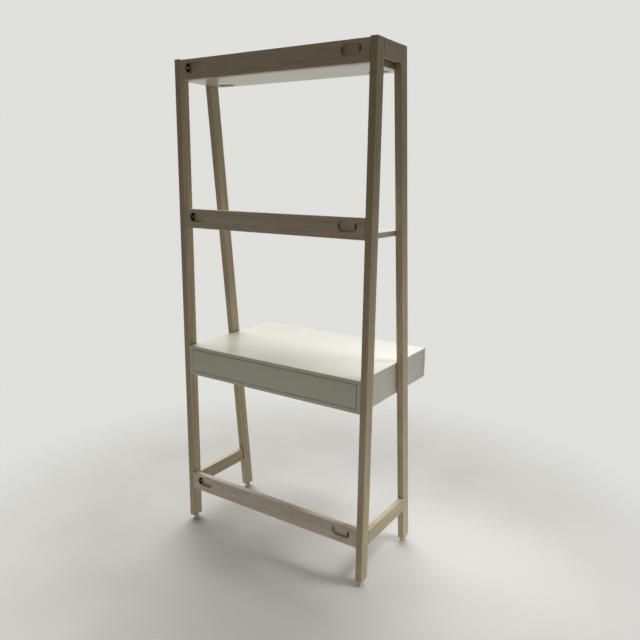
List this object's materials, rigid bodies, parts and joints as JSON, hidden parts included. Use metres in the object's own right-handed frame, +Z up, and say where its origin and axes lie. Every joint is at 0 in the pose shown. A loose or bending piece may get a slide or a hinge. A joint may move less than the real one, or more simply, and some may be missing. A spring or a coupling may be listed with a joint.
{
  "type": "wall desk",
  "caption": "Tall ladder-frame wall desk in washed wood, with white shelves, a shallow drawer on ball-bearing runners and levelling feet.",
  "frame": {"origin": "on the floor, under the centre of the desk's outer box", "axes": "+Z up, the drawer's front faces -Y, +X to the right of a person who sits at the desk"},
  "size_m": [0.832, 0.521, 1.829],
  "materials": {
    "washed_wood": "white-washed straight-grained timber under matt lacquer",
    "white_lacquer": "warm white semi-gloss lacquer on board",
    "birch_board": "clear-lacquered birch ply",
    "black_steel": "black oxide",
    "zinc_steel": "bright zinc plate",
    "bearing_steel": "polished bearing steel",
    "insert_zinc": "yellow zinc",
    "beech_dowel": "plain beech",
    "pale_plastic": "pale nylon",
    "dark_steel": "dark zinc",
    "clear_rubber": "clear silicone"
  },
  "bodies": {
    "frame": {"left_back_leg": "washed_wood", "left_front_leg": "washed_wood", "left_top_side_rail": "washed_wood", "left_bottom_side_rail": "washed_wood", "left_desk_side": "white_lacquer", "left_cabinet_runner": "zinc_steel", "right_back_leg": "washed_wood", "right_front_leg": "washed_wood", "right_top_side_rail": "washed_wood", "right_bottom_side_rail": "washed_wood", "right_desk_side": "white_lacquer", "right_cabinet_runner": "zinc_steel", "top_back_rail": "washed_wood", "middle_back_rail": "washed_wood", "bottom_back_rail": "washed_wood", "left_top_cleat": "washed_wood", "right_top_cleat": "washed_wood", "top_shelf": "white_lacquer", "middle_shelf": "white_lacquer", "desk_top": "white_lacquer", "desk_bottom": "white_lacquer", "desk_back": "white_lacquer", "side_rail_dowels": "beech_dowel", "back_rail_dowels": "beech_dowel", "shelf_dowels": "beech_dowel", "desk_dowels": "beech_dowel", "rail_bolts": "black_steel", "rail_washers": "black_steel", "shelf_bolts": "black_steel", "shelf_washers": "black_steel", "desk_bolts": "black_steel", "rail_inserts": "insert_zinc", "shelf_inserts": "insert_zinc", "desk_inserts": "insert_zinc", "foot_inserts": "insert_zinc", "cabinet_runner_screws": "zinc_steel"},
    "drawer": {"left_drawer_runner": "zinc_steel", "left_drawer_side": "birch_board", "right_drawer_runner": "zinc_steel", "right_drawer_side": "birch_board", "drawer_front": "white_lacquer", "drawer_subfront": "birch_board", "drawer_back": "birch_board", "drawer_bottom": "birch_board", "drawer_dowels": "beech_dowel", "drawer_runner_screws": "zinc_steel", "drawer_front_screws": "zinc_steel", "drawer_bumpers": "clear_rubber"},
    "middle_runners": {"left_middle_runner": "zinc_steel", "right_middle_runner": "zinc_steel"},
    "outer_cages": {"outer_ball_cages": "bearing_steel"},
    "inner_cages": {"inner_ball_cages": "bearing_steel"},
    "left_back_foot": {"left_back_foot_pad": "pale_plastic", "left_back_foot_stem": "dark_steel"},
    "left_front_foot": {"left_front_foot_pad": "pale_plastic", "left_front_foot_stem": "dark_steel"},
    "right_back_foot": {"right_back_foot_pad": "pale_plastic", "right_back_foot_stem": "dark_steel"},
    "right_front_foot": {"right_front_foot_pad": "pale_plastic", "right_front_foot_stem": "dark_steel"}
  },
  "joints": [
    {"name": "drawer_slide", "type": "slide", "parent": "frame", "child": "drawer", "axis": [0, -1, 0], "range_m": [0, 0.44]},
    {"name": "middle_runner_slide", "type": "slide", "parent": "frame", "child": "middle_runners", "axis": [0, -1, 0], "range_m": [0, 0.22]},
    {"name": "outer_cage_slide", "type": "slide", "parent": "frame", "child": "outer_cages", "axis": [0, -1, 0], "range_m": [0, 0.11]},
    {"name": "inner_cage_slide", "type": "slide", "parent": "frame", "child": "inner_cages", "axis": [0, -1, 0], "range_m": [0, 0.33]},
    {"name": "left_back_foot_turn", "type": "hinge", "parent": "frame", "child": "left_back_foot", "pos_m": [-0.4035, 0.2385, 0.02], "axis": [0, 0, 1], "continuous": true},
    {"name": "left_front_foot_turn", "type": "hinge", "parent": "frame", "child": "left_front_foot", "pos_m": [-0.4035, -0.10238, 0.02], "axis": [0, 0, 1], "continuous": true},
    {"name": "right_back_foot_turn", "type": "hinge", "parent": "frame", "child": "right_back_foot", "pos_m": [0.4035, 0.2385, 0.02], "axis": [0, 0, 1], "continuous": true},
    {"name": "right_front_foot_turn", "type": "hinge", "parent": "frame", "child": "right_front_foot", "pos_m": [0.4035, -0.10238, 0.02], "axis": [0, 0, 1], "continuous": true}
  ],
  "couplings": [
    {"joint": "middle_runner_slide", "follows": "drawer_slide", "ratio": 0.5},
    {"joint": "outer_cage_slide", "follows": "drawer_slide", "ratio": 0.25},
    {"joint": "inner_cage_slide", "follows": "drawer_slide", "ratio": 0.75}
  ]
}
